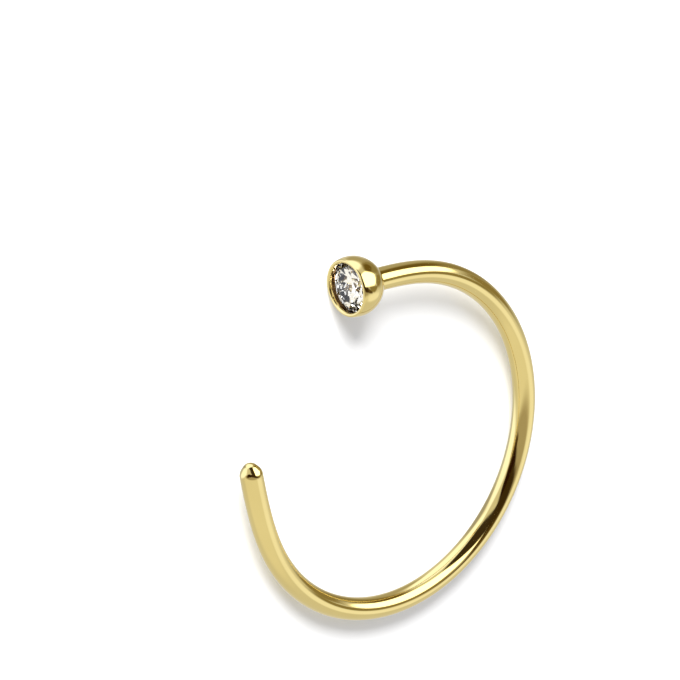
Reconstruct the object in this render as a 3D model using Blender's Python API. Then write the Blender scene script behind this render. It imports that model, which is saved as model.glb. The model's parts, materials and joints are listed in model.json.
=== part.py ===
"""Nose ring: an open hoop of round wire with a ball-shaped cup soldered to one end, and a round
brilliant stone set in the cup. Metres, +Z up. The ring lies on its side, as it rests by itself."""

import math

import bmesh
import bpy
from mathutils import Matrix, Vector

# The wire's centre line, measured along the wire from the centre of the ball
WIRE_DIAMETER = 0.0008
WIRE_LENGTH = 0.0311
BEND_RADIUS = 0.006
NECK_EASE_LENGTH = 0.0038  # the wire leaves the ball straight and bends in over this length
TIP_EASE_LENGTH = 0.0046  # the bend opens out again over this length
TIP_CURVATURE_SHARE = 0.08  # what is left of the bend at the tip's end

# The wire's free end: a short taper to a flat, with both of its edges rounded
TIP_TAPER_LENGTH = 0.00032
TIP_END_DIAMETER = 0.0003
TIP_ROUNDING = 0.0001

# The cup: a ball cut off square in front of its centre
BALL_DIAMETER = 0.00207
RIM_FORWARD = 0.00034
RIM_WALL = 0.00013
SEAT_WALL = 0.00016
SOLDER_FILLET_RADIUS = 0.00008

# The stone, a round brilliant that sits in the cup with its table just below the rim
STONE_RECESS = 0.00004
SEAT_CLEARANCE = 0.00002
CROWN_HEIGHT = 0.0002
GIRDLE_THICKNESS = 0.00005
PAVILION_ANGLE = math.radians(40.75)
TABLE_SHARE = 0.57  # of the girdle's diameter
STAR_SHARE = 0.5  # of the way from the table's edge to the girdle
LOWER_HALF_SHARE = 0.77  # of the way from the girdle to the culet
CULET_SHARE = 0.05  # of the girdle's diameter
MAIN_FACETS = 8

# Facets of the round forms
ROUND_SIDES = 24
WIRE_RING_SPACING = 0.00036
BALL_RINGS = 11
ROUNDING_STEPS = 3
PATH_STEP = 0.0001

# What settles how the ring lies: densities in kilograms per cubic metre, and how far down a face of
# the hull has to look before the ring may lie on it
STEEL_DENSITY = 7900.0
STONE_DENSITY = 5700.0
UNDERSIDE = 0.8

# Places that follow from the sizes. Along the cup's axis, s is 0 at the ball's centre, negative in
# front of it and positive towards the wire.
WIRE_RADIUS = WIRE_DIAMETER / 2
BALL_RADIUS = BALL_DIAMETER / 2
RIM_S = -RIM_FORWARD
TABLE_S = RIM_S + STONE_RECESS
GIRDLE_FRONT_S = TABLE_S + CROWN_HEIGHT
GIRDLE_BACK_S = GIRDLE_FRONT_S + GIRDLE_THICKNESS
RIM_OUTER_RADIUS = math.sqrt(BALL_RADIUS**2 - RIM_S**2)
RIM_INNER_RADIUS = RIM_OUTER_RADIUS - RIM_WALL
BORE_RADIUS = math.sqrt(BALL_RADIUS**2 - GIRDLE_FRONT_S**2) - SEAT_WALL
GIRDLE_RADIUS = BORE_RADIUS - SEAT_CLEARANCE
TABLE_RADIUS = TABLE_SHARE * GIRDLE_RADIUS
CULET_RADIUS = CULET_SHARE * GIRDLE_RADIUS
CULET_S = GIRDLE_BACK_S + (GIRDLE_RADIUS - CULET_RADIUS) * math.tan(PAVILION_ANGLE)
FACET_TURN = math.pi / MAIN_FACETS  # from the middle of a main facet to its edge


def smooth_step(share):
    """A rise from 0 to 1 that starts and ends level."""
    share = min(max(share, 0.0), 1.0)
    return share * share * (3.0 - 2.0 * share)


def curvature(s):
    """The bend of the wire's centre line at arc length s from the ball's centre."""
    neck = smooth_step(s / NECK_EASE_LENGTH)
    tip = smooth_step((WIRE_LENGTH - s) / TIP_EASE_LENGTH)
    return neck * (TIP_CURVATURE_SHARE + (1.0 - TIP_CURVATURE_SHARE) * tip) / BEND_RADIUS


def wire_frame(s):
    """A matrix whose origin is on the centre line at s and whose Z axis runs along the line."""
    steps = max(1, math.ceil(s / PATH_STEP))
    length = s / steps
    heading = 0.0
    point = Vector((0.0, 0.0, 0.0))
    for step in range(steps):
        half_turn = 0.5 * length * curvature((step + 0.5) * length)
        heading -= half_turn
        point += length * Vector((math.cos(heading), math.sin(heading), 0.0))
        heading -= half_turn
    turn = Matrix.Rotation(heading, 4, "Z") @ Matrix.Rotation(math.pi / 2, 4, "Y")
    return Matrix.Translation(point) @ turn


def rounded(before, corner, after, radius):
    """The arc of this radius that takes the place of a profile's corner, as points on it."""
    back = (before - corner).normalized()
    on = (after - corner).normalized()
    half_angle = back.angle(on) / 2
    reach = radius / math.tan(half_angle)
    centre = corner + (back + on).normalized() * radius / math.sin(half_angle)
    start = (corner + back * reach - centre).normalized()
    end = (corner + on * reach - centre).normalized()
    shares = [step / ROUNDING_STEPS for step in range(ROUNDING_STEPS + 1)]
    return [centre + radius * start.slerp(end, share) for share in shares]


def cavity_profile():
    """The inside of the cup from its floor to the rim, as places along the axis and radii."""
    corner = 1.0 / math.cos(FACET_TURN)  # the pavilion's edges stand out this much from its facets
    flats = 1.0 / math.cos(math.pi / ROUND_SIDES)  # so that the bore's flat sides keep the clearance
    floor_s = CULET_S + SEAT_CLEARANCE
    floor_radius = corner * CULET_RADIUS + SEAT_CLEARANCE
    cone_depth = (BORE_RADIUS - floor_radius) * math.tan(PAVILION_ANGLE) / corner
    return [
        Vector((floor_s, floor_radius * flats)),
        Vector((floor_s - cone_depth, BORE_RADIUS * flats)),
        Vector((GIRDLE_FRONT_S, BORE_RADIUS * flats)),
        Vector((RIM_S, RIM_INNER_RADIUS)),
    ]


def ball_profile():
    """The cup's outside from the rim to the wire, with the solder's fillet where they meet."""
    fillet_r = WIRE_RADIUS + SOLDER_FILLET_RADIUS
    fillet_s = math.sqrt((BALL_RADIUS + SOLDER_FILLET_RADIUS) ** 2 - fillet_r**2)
    first = math.acos(-RIM_S / BALL_RADIUS)
    last = math.pi - math.atan2(fillet_r, fillet_s)
    profile = []
    for step in range(BALL_RINGS + 1):
        angle = first + (last - first) * step / BALL_RINGS
        profile.append(BALL_RADIUS * Vector((-math.cos(angle), math.sin(angle))))
    for step in range(1, ROUNDING_STEPS + 1):
        angle = last + (math.pi / 2 - last) * step / ROUNDING_STEPS
        fillet = SOLDER_FILLET_RADIUS * Vector((math.cos(angle), -math.sin(angle)))
        profile.append(Vector((fillet_s, fillet_r)) + fillet)
    return profile


def wire_profile(start):
    """The wire from the end of the fillet to its flat end."""
    taper = Vector((WIRE_LENGTH - TIP_TAPER_LENGTH, WIRE_RADIUS))
    edge = Vector((WIRE_LENGTH, TIP_END_DIAMETER / 2))
    tip = rounded(Vector((start, WIRE_RADIUS)), taper, edge, TIP_ROUNDING)
    tip += rounded(taper, edge, Vector((WIRE_LENGTH, 0.0)), TIP_ROUNDING)
    length = tip[0].x - start
    count = math.ceil(length / WIRE_RING_SPACING)
    straight = [Vector((start + length * step / count, WIRE_RADIUS)) for step in range(1, count)]
    return straight + tip


def principled(name, color, metallic, roughness, transmission=0.0, ior=1.45):
    """A Principled BSDF material."""
    material = bpy.data.materials.new(name)
    material.use_nodes = True
    shader = material.node_tree.nodes["Principled BSDF"]
    shader.inputs["Base Color"].default_value = (*color, 1.0)
    shader.inputs["Metallic"].default_value = metallic
    shader.inputs["Roughness"].default_value = roughness
    shader.inputs["Transmission Weight"].default_value = transmission
    shader.inputs["IOR"].default_value = ior
    return material


def add_object(name, bm, material, parent):
    """An object from a finished bmesh."""
    mesh = bpy.data.meshes.new(name)
    bm.to_mesh(mesh)
    bm.free()
    mesh.materials.append(material)
    obj = bpy.data.objects.new(name, mesh)
    bpy.context.scene.collection.objects.link(obj)
    obj.parent = parent
    return obj


def make_hoop(parent):
    """The cup and the wire, one solid: circles set square to the centre line, skinned in order."""
    profile = cavity_profile() + ball_profile()
    profile += wire_profile(profile[-1].x)
    bm = bmesh.new()
    before = None
    for s, radius in profile:
        place = wire_frame(s)
        made = bmesh.ops.create_circle(bm, segments=ROUND_SIDES, radius=radius, matrix=place)
        circle = made["verts"]
        if before is None:
            bm.faces.new(circle)
        else:
            for side in range(ROUND_SIDES):
                after = (side + 1) % ROUND_SIDES
                bm.faces.new((before[side], before[after], circle[after], circle[side]))
        before = circle
    bm.faces.new(before)
    bmesh.ops.recalc_face_normals(bm, faces=bm.faces)
    gold = principled("gold_coloured_steel", (0.85, 0.68, 0.32), metallic=1.0, roughness=0.15)
    hoop = add_object("hoop", bm, gold, parent)
    hoop.data.shade_smooth()
    hoop.data.set_sharp_from_angle(angle=math.radians(32))
    return hoop


def stone_points():
    """The corners of the brilliant: even ones on the middles of the main facets, odd ones between."""
    crown_slope = CROWN_HEIGHT / (GIRDLE_RADIUS - TABLE_RADIUS)
    table_edge = TABLE_RADIUS * math.cos(FACET_TURN)
    star_radius = table_edge + STAR_SHARE * (GIRDLE_RADIUS - table_edge)
    star_s = TABLE_S + crown_slope * (star_radius * math.cos(FACET_TURN) - TABLE_RADIUS)
    lower_s = GIRDLE_BACK_S + LOWER_HALF_SHARE * (CULET_S - GIRDLE_BACK_S)
    lower_radius = GIRDLE_RADIUS - (lower_s - GIRDLE_BACK_S) / math.tan(PAVILION_ANGLE)
    girdle = [(GIRDLE_FRONT_S, GIRDLE_RADIUS), (GIRDLE_BACK_S, GIRDLE_RADIUS)]
    even = girdle + [(TABLE_S, TABLE_RADIUS), (CULET_S, CULET_RADIUS)]
    odd = girdle + [(star_s, star_radius), (lower_s, lower_radius / math.cos(FACET_TURN))]
    points = []
    for corner in range(2 * MAIN_FACETS):
        angle = corner * FACET_TURN
        for s, radius in odd if corner % 2 else even:
            points.append(Vector((s, radius * math.cos(angle), radius * math.sin(angle))))
    return points


def make_stone(parent):
    """The brilliant, as the hull of its corners with each flat facet made one face."""
    bm = bmesh.new()
    for point in stone_points():
        bm.verts.new(point)
    bmesh.ops.convex_hull(bm, input=bm.verts)
    bmesh.ops.dissolve_limit(bm, angle_limit=math.radians(0.5), verts=bm.verts, edges=bm.edges)
    bmesh.ops.recalc_face_normals(bm, faces=bm.faces)
    crystal = principled("clear_crystal", (0.96, 0.97, 1.0), 0.0, 0.02, transmission=1.0, ior=2.15)
    return add_object("stone", bm, crystal, parent)


def volume_and_moment(mesh):
    """A closed mesh's volume, and that volume times its centre."""
    mesh.calc_loop_triangles()
    volume = 0.0
    moment = Vector((0.0, 0.0, 0.0))
    for triangle in mesh.loop_triangles:
        a, b, c = (mesh.vertices[index].co for index in triangle.vertices)
        part = a.dot(b.cross(c)) / 6.0
        volume += part
        moment += part * (a + b + c) / 4.0
    return volume, moment


def underside(densities):
    """The direction that points down when the ring lies still on its side: the normal of the face
    of its hull that is nearest to its centre of mass."""
    mass = 0.0
    moment = Vector((0.0, 0.0, 0.0))
    hull = bmesh.new()
    for obj, density in densities.items():
        volume, part = volume_and_moment(obj.data)
        mass += density * volume
        moment += density * part
        for vert in obj.data.vertices:
            hull.verts.new(vert.co)
    bmesh.ops.convex_hull(hull, input=hull.verts)
    bmesh.ops.recalc_face_normals(hull, faces=hull.faces)
    centre = moment / mass
    sides = [
        (face.normal.dot(face.verts[0].co - centre), tuple(face.normal))
        for face in hull.faces
        if face.normal.z < -UNDERSIDE
    ]
    hull.free()
    return Vector(min(sides)[1])


def lay_down(rest, densities):
    """Turns and moves the empty so that the ring lies on its side, with the middle of its base at
    the world's origin."""
    turn = underside(densities).rotation_difference(Vector((0.0, 0.0, -1.0))).to_matrix().to_4x4()
    points = [turn @ vert.co for obj in densities for vert in obj.data.vertices]
    low = Vector([min(point[axis] for point in points) for axis in range(3)])
    high = Vector([max(point[axis] for point in points) for axis in range(3)])
    base = Vector(((low.x + high.x) / 2, (low.y + high.y) / 2, low.z))
    rest.matrix_world = Matrix.Translation(-base) @ turn


def main():
    for obj in list(bpy.data.objects):
        bpy.data.objects.remove(obj)
    rest = bpy.data.objects.new("rest_pose", None)
    bpy.context.scene.collection.objects.link(rest)
    hoop = make_hoop(rest)
    stone = make_stone(rest)
    lay_down(rest, {hoop: STEEL_DENSITY, stone: STONE_DENSITY})


main()
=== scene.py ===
"""The looks of the nose ring: polished, gold-coloured wire and cup, and a clear round brilliant.

Both CAD nodes are replaced by the same forms, made finer. They are built in the ring's own frame and
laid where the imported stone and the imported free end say. Metres, +Z up."""

import json
import math

import bmesh
import bpy
from mathutils import Matrix, Vector


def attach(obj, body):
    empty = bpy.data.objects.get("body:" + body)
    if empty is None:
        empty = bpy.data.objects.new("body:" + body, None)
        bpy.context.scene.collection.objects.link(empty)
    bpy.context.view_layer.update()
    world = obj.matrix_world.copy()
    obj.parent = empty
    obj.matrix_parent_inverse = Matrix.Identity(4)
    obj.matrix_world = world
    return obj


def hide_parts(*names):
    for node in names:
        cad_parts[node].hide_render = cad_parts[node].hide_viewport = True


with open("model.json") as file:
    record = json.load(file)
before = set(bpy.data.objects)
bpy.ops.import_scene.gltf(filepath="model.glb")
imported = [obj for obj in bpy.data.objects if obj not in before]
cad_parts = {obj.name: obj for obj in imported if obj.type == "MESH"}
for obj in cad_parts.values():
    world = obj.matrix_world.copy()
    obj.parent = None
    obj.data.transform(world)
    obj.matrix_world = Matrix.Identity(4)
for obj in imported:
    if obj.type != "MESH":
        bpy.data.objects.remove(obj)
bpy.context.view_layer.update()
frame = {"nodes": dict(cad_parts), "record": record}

# The wire's centre line, measured along the wire from the centre of the ball
WIRE_DIAMETER = 0.0008
WIRE_LENGTH = 0.0311
BEND_RADIUS = 0.006
NECK_EASE_LENGTH = 0.0038
TIP_EASE_LENGTH = 0.0046
TIP_CURVATURE_SHARE = 0.08

# The wire's free end
TIP_TAPER_LENGTH = 0.00032
TIP_END_DIAMETER = 0.0003
TIP_SHOULDER_ROUNDING = 0.0004
TIP_EDGE_ROUNDING = 0.0003

# The cup: a ball cut off square in front of its centre
BALL_DIAMETER = 0.00207
RIM_FORWARD = 0.00034
RIM_WALL = 0.00013
RIM_INNER_ROUNDING = 0.00006
RIM_OUTER_ROUNDING = 0.00005
DULL_SHADED_SHARE = 0.75  # of the inner wall's height, left unpolished and painted dark brown as shade
SEAT_WALL = 0.00016
SOLDER_FILLET_RADIUS = 0.00008

# The stone
STONE_RECESS = 0.00004
SEAT_CLEARANCE = 0.00002
CROWN_HEIGHT = 0.0002
GIRDLE_THICKNESS = 0.00005
PAVILION_ANGLE = math.radians(40.75)
TABLE_SHARE = 0.57
STAR_SHARE = 0.5
LOWER_HALF_SHARE = 0.62
CULET_SHARE = 0.05
MAIN_FACETS = 8
STONE_TURN = math.radians(33.75)

# How fine the round forms are
ROUND_SIDES = 96
WIRE_RING_SPACING = 0.0001
BALL_RINGS = 48
ROUNDING_STEPS = 8
PATH_STEP = 0.0001
GIRDLE_STEPS = 4  # between a main facet's middle and its edge
RIM_CHORD_TURN = 0.05  # of the ball's outline, which the rim's outer rounding takes as straight
RIM_ROUNDING_TURN = 0.04  # of the ball's outline, which that rounding takes up
SHARP_ANGLE = math.radians(32)

# How flats and facets are told apart
SAME_FLAT_COSINE = 0.99999
SAME_FACET_ANGLE = math.radians(0.5)
PAVILION_FACING = 0.1  # the least that a pavilion facet's normal points towards the wire

# Places that follow from the sizes. Along the cup's axis, s is 0 at the ball's centre, negative in
# front of it and positive towards the wire.
WIRE_RADIUS = WIRE_DIAMETER / 2
BALL_RADIUS = BALL_DIAMETER / 2
RIM_S = -RIM_FORWARD
TABLE_S = RIM_S + STONE_RECESS
GIRDLE_FRONT_S = TABLE_S + CROWN_HEIGHT
GIRDLE_BACK_S = GIRDLE_FRONT_S + GIRDLE_THICKNESS
RIM_ANGLE = math.acos(-RIM_S / BALL_RADIUS)
RIM_OUTER_RADIUS = math.sqrt(BALL_RADIUS**2 - RIM_S**2)
RIM_INNER_RADIUS = RIM_OUTER_RADIUS - RIM_WALL
BORE_RADIUS = math.sqrt(BALL_RADIUS**2 - GIRDLE_FRONT_S**2) - SEAT_WALL
GIRDLE_RADIUS = BORE_RADIUS - SEAT_CLEARANCE
TABLE_RADIUS = TABLE_SHARE * GIRDLE_RADIUS
CULET_RADIUS = CULET_SHARE * GIRDLE_RADIUS
CULET_S = GIRDLE_BACK_S + (GIRDLE_RADIUS - CULET_RADIUS) * math.tan(PAVILION_ANGLE)
FACET_TURN = math.pi / MAIN_FACETS

# The materials. Each pair holds the two ends of what is uneven.
GOLD_TONES = ((0.80, 0.62, 0.235), (0.86, 0.68, 0.27))
GOLD_ROUGHNESS = (0.05, 0.09)
GOLD_WAVE_HEIGHT = 1.2e-6
# The inside of the cup is painted in these dark browns as shade in its hollow.
HOLLOW_SHADE_TONES = ((0.10, 0.05, 0.018), (0.24, 0.135, 0.045))
DULL_ROUGHNESS = (0.25, 0.4)
CRYSTAL_COLOR = (1.0, 0.99, 0.975)
CRYSTAL_SHINE_COLOR = (0.42, 0.39, 0.32)
CRYSTAL_IOR = 2.15
CRYSTAL_ROUGHNESS = (0.0, 0.01)
SILVERING_COLOR = (0.94, 0.94, 0.93)
SILVERING_ROUGHNESS = (0.01, 0.04)
FLOOR_COLOR = (0.87, 0.87, 0.87)
FLOOR_ROUGHNESS = (0.22, 0.26)
NOISE_RANGE = (0.3, 0.7)  # the values of a noise that are spread over such a pair
STONE_NOISE_RANGE = (0.3, 0.8)

# The camera, placed about the ring's own frame: it looks at a point in the ring's plane
VIEW_TARGET = Vector((-0.000574, -0.001771, 0.0))
VIEW_AZIMUTH = math.radians(150.184)  # in the ring's plane, from the cup's axis
VIEW_ELEVATION = math.radians(45.497)
VIEW_ROLL = math.radians(-112.382)
VIEW_DISTANCE = 0.13495
VIEW_LENS = 213.85  # millimetres, as is the sensor's width
VIEW_SENSOR_WIDTH = 36.0
VIEW_CLIP_START = 0.001
VIEW_CLIP_END = 10.0

# The studio. The metal mirrors the surroundings, a pale sphere with panels on it, and the floor is lit
# by an even glow and a large lamp. Corners are degrees right and up of the direction in which the
# camera stands, as the ring sees it, and run anticlockwise. A later panel hides an earlier one.
SURROUNDINGS_COLOR = (0.76, 0.78, 0.80)
PANELS = (
    # corners, softness, color
    # The pale side on the left, and the shade behind it
    (((-112, -45), (-106, 30), (-84, 105), (-100, 122), (-148, 66), (-158, 0)), 0.30, (0.62, 0.70, 0.92)),
    (((-118, -32), (-70, -22), (-46, 2), (-36, 40), (-62, 52), (-108, 28)), 0.16, (1.35, 1.5, 2.0)),
    (
        ((-58, 46), (-38, 36), (-10, 50), (24, 66), (33, 88), (20, 102), (-42, 112), (-66, 84)),
        0.10,
        (1.4, 1.55, 2.0),
    ),
    (((-122, 46), (-98, 40), (-74, 55), (-66, 76), (-86, 100), (-125, 90)), 0.12, (0.44, 0.46, 0.56)),
    # The bright corner at the lower right
    (((52, -36), (60, -66), (84, -64), (112, -50), (118, -22), (92, -22)), 0.12, (1.08, 1.14, 1.28)),
    # The brown walls at the right and at the top
    (((92, 4), (116, -8), (136, 8), (136, 62), (98, 54)), 0.12, (0.55, 0.57, 0.57)),
    (((42, 66), (105, 56), (134, 74), (90, 128), (24, 126), (30, 95)), 0.12, (0.45, 0.42, 0.35)),
    (((-26, 113), (34, 102), (52, 128), (10, 148), (-36, 136)), 0.10, (0.48, 0.46, 0.38)),
    (((91, 5), (108, -3), (124, 14), (122, 64), (97, 54)), 0.08, (0.30, 0.25, 0.12)),
    (((43, 63), (75, 57), (102, 54), (120, 72), (86, 112), (46, 108), (34, 90)), 0.08, (0.31, 0.27, 0.15)),
    (((46, 66), (58, 59), (74, 61), (78, 88), (58, 98), (42, 90)), 0.07, (0.17, 0.12, 0.03)),
    # The paler ground under the camera, and the dark screens round it
    (((-70, -66), (52, -66), (66, -34), (50, -5), (-30, 0), (-60, -10)), 0.22, (0.90, 0.92, 0.92)),
    (((-53, -26), (63, -33), (56, -7), (-27, 0), (-56, 0)), 0.12, (0.46, 0.43, 0.36)),
    (((-43, -20), (-22, -23), (-16, -11), (-16, 11), (-40, 5)), 0.05, (0.10, 0.065, 0.02)),
    (((-30, -16), (16, -16), (22, 3), (-11, 11), (-30, 10)), 0.05, (0.025, 0.008, 0.002)),
    (((17, -18), (76, -27), (77, -20), (41, 14), (11, 14), (-6, -11)), 0.05, (0.05, 0.03, 0.01)),
    (((9, 7), (45, 0), (30, 47), (11, 57), (-2, 55), (-18, 45), (-16, 31)), 0.06, (0.05, 0.035, 0.018)),
    (((56, -12), (62, -28), (78, -29), (79, -20), (64, -8)), 0.06, (0.12, 0.08, 0.02)),
    # The ledge under the softbox, the brown strip on it, and the softbox
    (
        ((41, 12), (49, 1), (57, -7), (66, -14), (86, -20), (98, -4), (98, 14), (60, 16)),
        0.05,
        (0.75, 0.78, 0.85),
    ),
    (((62, -3), (68, -15), (76, -22), (88, -25), (100, -12), (104, 4), (84, 3)), 0.05, (0.30, 0.26, 0.13)),
    (((43, 57), (30, 43), (36, 20), (46, -3), (88, 6), (93, 28), (88, 51)), 0.05, (3.2, 3.2, 3.1)),
)
BACKDROP_COLOR = (1.0, 1.0, 1.0)
GLOW_COLOR = (0.66, 0.66, 0.67)
LAMP_PLACE = (0, 38)
LAMP_DISTANCE = 0.3
LAMP_DIAMETER = 0.22
LAMP_POWER = 2.9
FLOOR_DROP = 0.00001
FLOOR_DIAMETER = 0.8

# What rays that leave the stone find: a glow, and a dark screen on it
STONE_GLOW_COLOR = (1.12, 1.07, 0.95)
SCREEN_COLOR = (0.03, 0.03, 0.03)
SCREEN_PLACE = (0, 0)
SCREEN_ANGLE = 22  # degrees from the screen's middle to its corners
SCREEN_SIDES = 8
SCREEN_SOFTNESS = 0.04
GLOSSY_BOUNCES = 7  # a ray meets many facets before it leaves the stone

# Places in a piece's list of materials
MAIN_MATERIAL = 0
INNER_MATERIAL = 1  # of the inside of the cup and the back of the stone

# The sockets of a node that mixes colors
MIX_SHARE = 0
MIX_FIRST = 6
MIX_SECOND = 7
MIX_RESULT = 2


def largest_flat(mesh):
    """The outward normal and the middle of a mesh's largest flat side."""
    flats = []
    for polygon in mesh.polygons:
        for flat in flats:
            if flat["normal"].dot(polygon.normal) > SAME_FLAT_COSINE:
                break
        else:
            flat = {"normal": polygon.normal.copy(), "area": 0.0, "moment": Vector()}
            flats.append(flat)
        flat["area"] += polygon.area
        flat["moment"] += polygon.area * polygon.center
    widest = max(flats, key=lambda flat: flat["area"])
    return widest["normal"], widest["moment"] / widest["area"]


def ring_frame():
    """Where the ring's own frame lies: its origin at the ball's centre, X along the cup's axis
    towards the wire, and Z square to the ring's plane."""
    normal, table_middle = largest_flat(frame["nodes"]["stone"].data)
    x_axis = -normal
    centre = table_middle - TABLE_S * x_axis
    free_end = Vector(frame["record"]["mounts"][0]["pos_m"]) - centre
    y_axis = -(free_end - free_end.dot(x_axis) * x_axis).normalized()
    turn = Matrix((x_axis, y_axis, x_axis.cross(y_axis))).transposed()
    return Matrix.Translation(centre) @ turn.to_4x4()


RING = ring_frame()


# Forms


def smooth_step(share):
    """A rise from 0 to 1 that starts and ends level."""
    share = min(max(share, 0.0), 1.0)
    return share * share * (3.0 - 2.0 * share)


def curvature(s):
    """The bend of the wire's centre line at arc length s from the ball's centre."""
    neck = smooth_step(s / NECK_EASE_LENGTH)
    tip = smooth_step((WIRE_LENGTH - s) / TIP_EASE_LENGTH)
    return neck * (TIP_CURVATURE_SHARE + (1.0 - TIP_CURVATURE_SHARE) * tip) / BEND_RADIUS


def advance(point, heading, s, length):
    """The point and heading that lie this much further along the centre line."""
    half_turn = 0.5 * length * curvature(s + 0.5 * length)
    heading -= half_turn
    point = point + length * Vector((math.cos(heading), math.sin(heading), 0.0))
    return point, heading - half_turn


def centre_line():
    """The centre line's points and headings, PATH_STEP apart."""
    line = [(Vector((0.0, 0.0, 0.0)), 0.0)]
    for step in range(math.ceil(WIRE_LENGTH / PATH_STEP)):
        line.append(advance(*line[-1], step * PATH_STEP, PATH_STEP))
    return line


CENTRE_LINE = centre_line()


def wire_frame(s):
    """A matrix whose origin is on the centre line at s and whose Z axis runs along the line."""
    step = max(0, int(s / PATH_STEP))
    start = step * PATH_STEP
    point, heading = advance(*CENTRE_LINE[step], start, s - start)
    turn = Matrix.Rotation(heading, 4, "Z") @ Matrix.Rotation(math.pi / 2, 4, "Y")
    return Matrix.Translation(point) @ turn


def rounded(before, corner, after, radius):
    """The arc of this radius that takes the place of a profile's corner, as points on it."""
    back = (before - corner).normalized()
    on = (after - corner).normalized()
    half_angle = back.angle(on) / 2
    reach = radius / math.tan(half_angle)
    centre = corner + (back + on).normalized() * radius / math.sin(half_angle)
    start = (corner + back * reach - centre).normalized()
    end = (corner + on * reach - centre).normalized()
    shares = [step / ROUNDING_STEPS for step in range(ROUNDING_STEPS + 1)]
    return [centre + radius * start.slerp(end, share) for share in shares]


def ball_point(angle):
    """The point of the ball's outline that is this angle from its front."""
    return BALL_RADIUS * Vector((-math.cos(angle), math.sin(angle)))


def cavity_profile():
    """The inside of the cup from its floor to the rim, as places along the axis and radii: the part
    that is left dull and painted dark brown as shade, and the part that is polished."""
    floor_s = CULET_S + SEAT_CLEARANCE
    floor_radius = CULET_RADIUS + SEAT_CLEARANCE
    cone_depth = (BORE_RADIUS - floor_radius) * math.tan(PAVILION_ANGLE)
    shoulder = Vector((GIRDLE_FRONT_S, BORE_RADIUS))
    rim_inner = Vector((RIM_S, RIM_INNER_RADIUS))
    rim_outer = Vector((RIM_S, RIM_OUTER_RADIUS))
    behind_rim = ball_point(RIM_ANGLE + RIM_CHORD_TURN)
    polished = rounded(shoulder, rim_inner, rim_outer, RIM_INNER_ROUNDING)
    polished += rounded(rim_inner, rim_outer, behind_rim, RIM_OUTER_ROUNDING)
    dull_shaded = [
        Vector((floor_s, floor_radius)),
        Vector((floor_s - cone_depth, BORE_RADIUS)),
        shoulder,
        shoulder.lerp(polished[0], DULL_SHADED_SHARE),
    ]
    return dull_shaded, polished


def ball_profile():
    """The cup's outside from the rim to the wire, with the solder's fillet where they meet."""
    fillet_r = WIRE_RADIUS + SOLDER_FILLET_RADIUS
    fillet_s = math.sqrt((BALL_RADIUS + SOLDER_FILLET_RADIUS) ** 2 - fillet_r**2)
    first = RIM_ANGLE + RIM_ROUNDING_TURN
    last = math.pi - math.atan2(fillet_r, fillet_s)
    profile = [ball_point(first + (last - first) * step / BALL_RINGS) for step in range(BALL_RINGS + 1)]
    for step in range(1, ROUNDING_STEPS + 1):
        angle = last + (math.pi / 2 - last) * step / ROUNDING_STEPS
        fillet = SOLDER_FILLET_RADIUS * Vector((math.cos(angle), -math.sin(angle)))
        profile.append(Vector((fillet_s, fillet_r)) + fillet)
    return profile


def wire_profile(start):
    """The wire from the end of the fillet to its flat end."""
    taper = Vector((WIRE_LENGTH - TIP_TAPER_LENGTH, WIRE_RADIUS))
    edge = Vector((WIRE_LENGTH, TIP_END_DIAMETER / 2))
    tip = rounded(Vector((start, WIRE_RADIUS)), taper, edge, TIP_SHOULDER_ROUNDING)
    tip += rounded(taper, edge, Vector((WIRE_LENGTH, 0.0)), TIP_EDGE_ROUNDING)
    length = tip[0].x - start
    count = math.ceil(length / WIRE_RING_SPACING)
    straight = [Vector((start + length * step / count, WIRE_RADIUS)) for step in range(1, count)]
    return straight + tip


def add_object(name, bm, materials):
    """An object from a finished bmesh that is built in the ring's own frame."""
    bmesh.ops.transform(bm, matrix=RING, verts=bm.verts)
    bmesh.ops.recalc_face_normals(bm, faces=bm.faces)
    mesh = bpy.data.meshes.new(name)
    bm.to_mesh(mesh)
    bm.free()
    for material in materials:
        mesh.materials.append(material)
    obj = bpy.data.objects.new(name, mesh)
    bpy.context.scene.collection.objects.link(obj)
    return obj


def add_circle(bm, s, radius):
    """The corners of a circle that is set square to the centre line at s."""
    place = wire_frame(s)
    circle = bmesh.ops.create_circle(bm, segments=ROUND_SIDES, radius=radius, matrix=place)
    return circle["verts"]


def make_hoop(gold, shaded_dull_gold):
    """The cup and the wire: circles along the centre line, skinned in order. The inside of the cup is
    left dull and painted dark brown as shade."""
    dull_shaded, polished = cavity_profile()
    profile = dull_shaded + polished + ball_profile()
    profile += wire_profile(profile[-1].x)
    bm = bmesh.new()
    circles = [add_circle(bm, s, radius) for s, radius in profile]
    bm.faces.new(circles[0]).material_index = INNER_MATERIAL
    for ring, (near, far) in enumerate(zip(circles, circles[1:]), start=1):
        for side in range(ROUND_SIDES):
            after = (side + 1) % ROUND_SIDES
            face = bm.faces.new((near[side], near[after], far[after], far[side]))
            face.material_index = INNER_MATERIAL if ring < len(dull_shaded) else MAIN_MATERIAL
    bm.faces.new(circles[-1])
    hoop = add_object("gold_hoop", bm, [gold, shaded_dull_gold])
    hoop.data.shade_smooth()
    hoop.data.set_sharp_from_angle(angle=SHARP_ANGLE)
    return hoop


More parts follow.
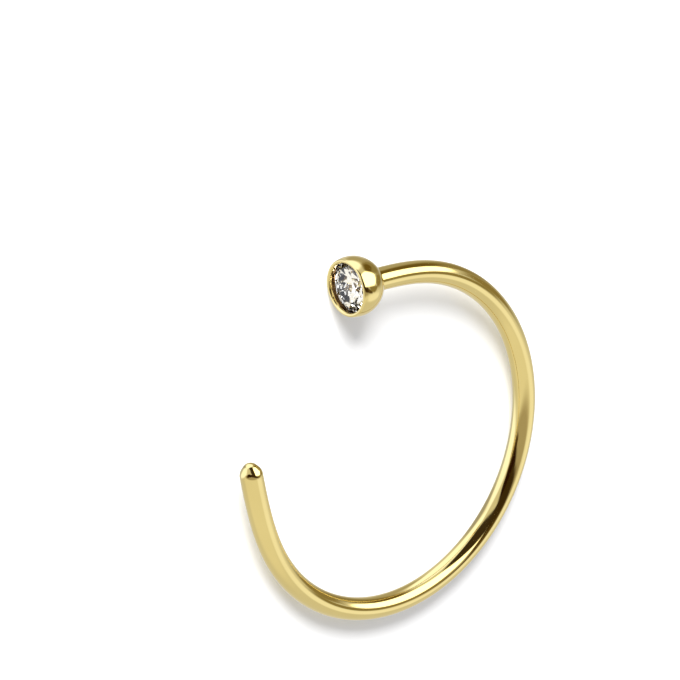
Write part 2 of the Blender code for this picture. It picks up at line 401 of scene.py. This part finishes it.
def stone_points():
    """The corners of the brilliant. Its girdle is round, and scalloped by the facets beside it."""
    crown_slope = CROWN_HEIGHT / (GIRDLE_RADIUS - TABLE_RADIUS)
    table_edge = TABLE_RADIUS * math.cos(FACET_TURN)
    star_radius = table_edge + STAR_SHARE * (GIRDLE_RADIUS - table_edge)
    star_s = TABLE_S + crown_slope * (star_radius * math.cos(FACET_TURN) - TABLE_RADIUS)
    lower_s = GIRDLE_BACK_S + LOWER_HALF_SHARE * (CULET_S - GIRDLE_BACK_S)
    lower_depth = lower_s - GIRDLE_BACK_S
    lower_radius = (GIRDLE_RADIUS - lower_depth / math.tan(PAVILION_ANGLE)) / math.cos(FACET_TURN)
    middle = math.cos(FACET_TURN / 2)
    upper_slope = (GIRDLE_FRONT_S - star_s) / ((GIRDLE_RADIUS - star_radius) * middle)
    lower_slope = lower_depth / ((GIRDLE_RADIUS - lower_radius) * middle)
    places = []
    for corner in range(2 * MAIN_FACETS):
        angle = corner * FACET_TURN
        if corner % 2:
            places += [(angle, star_s, star_radius), (angle, lower_s, lower_radius)]
        else:
            places += [(angle, TABLE_S, TABLE_RADIUS), (angle, CULET_S, CULET_RADIUS)]
        for step in range(GIRDLE_STEPS):
            turn = FACET_TURN * step / GIRDLE_STEPS
            scallop = GIRDLE_RADIUS * (math.cos(turn - FACET_TURN / 2) - middle)
            places.append((angle + turn, GIRDLE_FRONT_S + upper_slope * scallop, GIRDLE_RADIUS))
            places.append((angle + turn, GIRDLE_BACK_S - lower_slope * scallop, GIRDLE_RADIUS))
    return [
        Vector((s, radius * math.cos(angle + STONE_TURN), radius * math.sin(angle + STONE_TURN)))
        for angle, s, radius in places
    ]


def make_stone(crystal, silvering):
    """The brilliant, as the hull of its corners with each flat facet made one face. The facets of its
    pavilion, which the cup hides, are silvered."""
    bm = bmesh.new()
    for point in stone_points():
        bm.verts.new(point)
    bmesh.ops.convex_hull(bm, input=bm.verts)
    bmesh.ops.dissolve_limit(bm, angle_limit=SAME_FACET_ANGLE, verts=bm.verts, edges=bm.edges)
    bmesh.ops.recalc_face_normals(bm, faces=bm.faces)
    for face in bm.faces:
        hidden = face.normal.x > PAVILION_FACING
        face.material_index = INNER_MATERIAL if hidden else MAIN_MATERIAL
    return add_object("brilliant", bm, [crystal, silvering])


# Materials


class Nodes:
    """Short ways to add nodes to one tree. A color is a tuple of red, green and blue."""

    def __init__(self, tree):
        self.tree = tree
        tree.nodes.clear()

    def add(self, kind, inputs=None, **settings):
        """A node with its settings, and with its inputs set or linked."""
        node = self.tree.nodes.new(kind)
        for name, value in settings.items():
            setattr(node, name, value)
        for name, value in (inputs or {}).items():
            if isinstance(value, bpy.types.NodeSocket):
                self.tree.links.new(value, node.inputs[name])
            elif isinstance(value, tuple):
                node.inputs[name].default_value = (*value, 1.0)
            else:
                node.inputs[name].default_value = value
        return node

    def multiply(self, first, second):
        """The product of two values."""
        return self.add("ShaderNodeMath", {0: first, 1: second}, operation="MULTIPLY").outputs[0]

    def mix(self, share, first, second):
        """The first color where the share is 0, and the second where it is 1."""
        inputs = {MIX_SHARE: share, MIX_FIRST: first, MIX_SECOND: second}
        return self.add("ShaderNodeMix", inputs, data_type="RGBA").outputs[MIX_RESULT]

    def step(self, value, low, high, start=0.0, end=1.0):
        """A smooth rise from start to end while the value goes from low to high."""
        inputs = {"Value": value, "From Min": low, "From Max": high, "To Min": start, "To Max": end}
        return self.add("ShaderNodeMapRange", inputs, interpolation_type="SMOOTHSTEP").outputs[0]

    def noise(self, scale, detail=2.0):
        """An uneven value that stays in its place on the object."""
        place = self.add("ShaderNodeTexCoord").outputs["Object"]
        inputs = {"Vector": place, "Scale": scale, "Detail": detail}
        return self.add("ShaderNodeTexNoise", inputs).outputs["Fac"]

    def surface(self, inputs):
        """A material's one shader, with these inputs."""
        shader = self.add("ShaderNodeBsdfPrincipled", inputs)
        self.add("ShaderNodeOutputMaterial", {"Surface": shader.outputs[0]})


def new_material(name):
    """An empty material, and the nodes of its tree."""
    material = bpy.data.materials.new(name)
    material.use_nodes = True
    return material, Nodes(material.node_tree)


def gold_material():
    """Polished, gold-coloured plating: a mirror with faint unevenness from polishing."""
    material, nodes = new_material("polished_gold")
    color = nodes.mix(nodes.noise(scale=700.0, detail=3.0), *GOLD_TONES)
    roughness = nodes.step(nodes.noise(scale=2500.0, detail=4.0), *NOISE_RANGE, *GOLD_ROUGHNESS)
    waves = {"Height": nodes.noise(scale=1100.0), "Strength": 1.0, "Distance": GOLD_WAVE_HEIGHT}
    bump = nodes.add("ShaderNodeBump", waves).outputs[0]
    nodes.surface({"Base Color": color, "Metallic": 1.0, "Roughness": roughness, "Normal": bump})
    return material


def shaded_dull_gold_material():
    """The unpolished inside of the cup, painted in uneven dark browns as shade in the hollow."""
    material, nodes = new_material("shaded_dull_gold")
    tone = nodes.noise(scale=4000.0, detail=3.0)
    color = nodes.mix(tone, *HOLLOW_SHADE_TONES)
    roughness = nodes.step(tone, *NOISE_RANGE, *DULL_ROUGHNESS)
    nodes.surface({"Base Color": color, "Metallic": 1.0, "Roughness": roughness})
    return material


def crystal_material():
    """Clear crystal with polished facets."""
    material, nodes = new_material("clear_crystal")
    roughness = nodes.step(nodes.noise(scale=3000.0), *STONE_NOISE_RANGE, *CRYSTAL_ROUGHNESS)
    inputs = {
        "Base Color": CRYSTAL_COLOR,
        "Roughness": roughness,
        "IOR": CRYSTAL_IOR,
        "Specular Tint": CRYSTAL_SHINE_COLOR,
        "Transmission Weight": 1.0,
    }
    nodes.surface(inputs)
    return material


def silvering_material():
    """The silvered back of the crystal."""
    material, nodes = new_material("silvered_back")
    roughness = nodes.step(nodes.noise(scale=3000.0), *STONE_NOISE_RANGE, *SILVERING_ROUGHNESS)
    nodes.surface({"Base Color": SILVERING_COLOR, "Metallic": 1.0, "Roughness": roughness})
    return material


def floor_material():
    """A pale floor with a faintly uneven gloss."""
    material, nodes = new_material("pale_floor")
    roughness = nodes.step(nodes.noise(scale=40.0), *NOISE_RANGE, *FLOOR_ROUGHNESS)
    nodes.surface({"Base Color": FLOOR_COLOR, "Roughness": roughness})
    return material


# Studio


def camera_frame():
    """Where the camera stands and how it is turned: at the photo's angle to the ring."""
    level = math.cos(VIEW_ELEVATION)
    across = (level * math.cos(VIEW_AZIMUTH), level * math.sin(VIEW_AZIMUTH))
    back = Vector((*across, math.sin(VIEW_ELEVATION)))
    right = Vector((0.0, 0.0, 1.0)).cross(back).normalized()
    up = back.cross(right)
    turn = Matrix((right, up, back)).transposed().to_4x4()
    place = Matrix.Translation(VIEW_TARGET + VIEW_DISTANCE * back)
    return RING @ place @ turn @ Matrix.Rotation(-VIEW_ROLL, 4, "Z")


CAMERA_FRAME = camera_frame()


def add_camera():
    """The camera, which the scene then looks through."""
    data = bpy.data.cameras.new("camera")
    data.lens = VIEW_LENS
    data.sensor_width = VIEW_SENSOR_WIDTH
    data.clip_start = VIEW_CLIP_START
    data.clip_end = VIEW_CLIP_END
    camera = bpy.data.objects.new("camera", data)
    camera.matrix_world = CAMERA_FRAME
    bpy.context.scene.collection.objects.link(camera)
    bpy.context.scene.camera = camera


def sky_direction(right, up):
    """The direction so many degrees right and up of the camera's own."""
    angle = math.radians(math.hypot(right, up))
    spread = math.atan2(up, right)
    flat = math.sin(angle)
    direction = Vector((flat * math.cos(spread), flat * math.sin(spread), math.cos(angle)))
    return CAMERA_FRAME.to_3x3() @ direction


def panel(nodes, direction, corners, softness):
    """How much of a direction is inside a panel, whose corners run anticlockwise about it."""
    share = 1.0
    points = [sky_direction(*corner) for corner in corners]
    for first, second in zip(points, points[1:] + points[:1]):
        edge = first.cross(second).normalized()
        inside = nodes.add("ShaderNodeVectorMath", {0: direction, 1: edge}, operation="DOT_PRODUCT")
        share = nodes.multiply(share, nodes.step(inside.outputs["Value"], -softness, softness))
    return share


def screen_corners():
    """The corners of the dark screen whose image makes the stone's dark facets."""
    right, up = SCREEN_PLACE
    turns = [2 * math.pi * side / SCREEN_SIDES for side in range(SCREEN_SIDES)]
    return [(right + SCREEN_ANGLE * math.cos(turn), up + SCREEN_ANGLE * math.sin(turn)) for turn in turns]


def add_surroundings():
    """What rays that leave the scene find: the panels after a mirror, the stone's own glow and screen
    after the stone, an even glow after the floor, and a plain backdrop straight from the camera."""
    world = bpy.data.worlds.new("studio")
    world.use_nodes = True
    world.cycles.sampling_method = "NONE"
    bpy.context.scene.world = world
    nodes = Nodes(world.node_tree)
    direction = nodes.add("ShaderNodeTexCoord").outputs["Generated"]
    color = SURROUNDINGS_COLOR
    for corners, softness, shade in PANELS:
        color = nodes.mix(panel(nodes, direction, corners, softness), color, shade)
    screen = panel(nodes, direction, screen_corners(), SCREEN_SOFTNESS)
    sparkle = nodes.mix(screen, STONE_GLOW_COLOR, SCREEN_COLOR)
    ray = nodes.add("ShaderNodeLightPath").outputs
    color = nodes.mix(ray["Is Transmission Ray"], color, sparkle)
    color = nodes.mix(ray["Is Diffuse Ray"], color, GLOW_COLOR)
    color = nodes.mix(ray["Is Camera Ray"], color, BACKDROP_COLOR)
    background = nodes.add("ShaderNodeBackground", {"Color": color})
    nodes.add("ShaderNodeOutputWorld", {"Surface": background.outputs[0]})


def add_lamp():
    """The large lamp that lights the floor. No metal mirrors it."""
    data = bpy.data.lights.new("lamp", "AREA")
    data.shape = "DISK"
    data.size = LAMP_DIAMETER
    data.energy = LAMP_POWER
    lamp = bpy.data.objects.new("lamp", data)
    towards = sky_direction(*LAMP_PLACE)
    turn = towards.to_track_quat("Z", "Y").to_matrix().to_4x4()
    lamp.matrix_world = Matrix.Translation(LAMP_DISTANCE * towards) @ turn
    lamp.visible_glossy = False
    lamp.visible_camera = False
    bpy.context.scene.collection.objects.link(lamp)


def add_floor():
    """The plain pale floor. The metal mirrors the panels in its place."""
    bm = bmesh.new()
    place = Matrix.Translation((0.0, 0.0, -FLOOR_DROP))
    radius = FLOOR_DIAMETER / 2
    bmesh.ops.create_circle(bm, cap_ends=True, segments=ROUND_SIDES, radius=radius, matrix=place)
    mesh = bpy.data.meshes.new("floor")
    bm.to_mesh(mesh)
    bm.free()
    mesh.materials.append(floor_material())
    floor = bpy.data.objects.new("floor", mesh)
    floor.visible_glossy = False
    bpy.context.scene.collection.objects.link(floor)


hoop = make_hoop(gold_material(), shaded_dull_gold_material())
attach(hoop, "root")
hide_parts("hoop")

stone = make_stone(crystal_material(), silvering_material())
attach(stone, "root")
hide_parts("stone")

add_floor()
add_lamp()
add_camera()
add_surroundings()
bpy.context.scene.view_settings.view_transform = "Standard"
bpy.context.scene.cycles.glossy_bounces = GLOSSY_BOUNCES
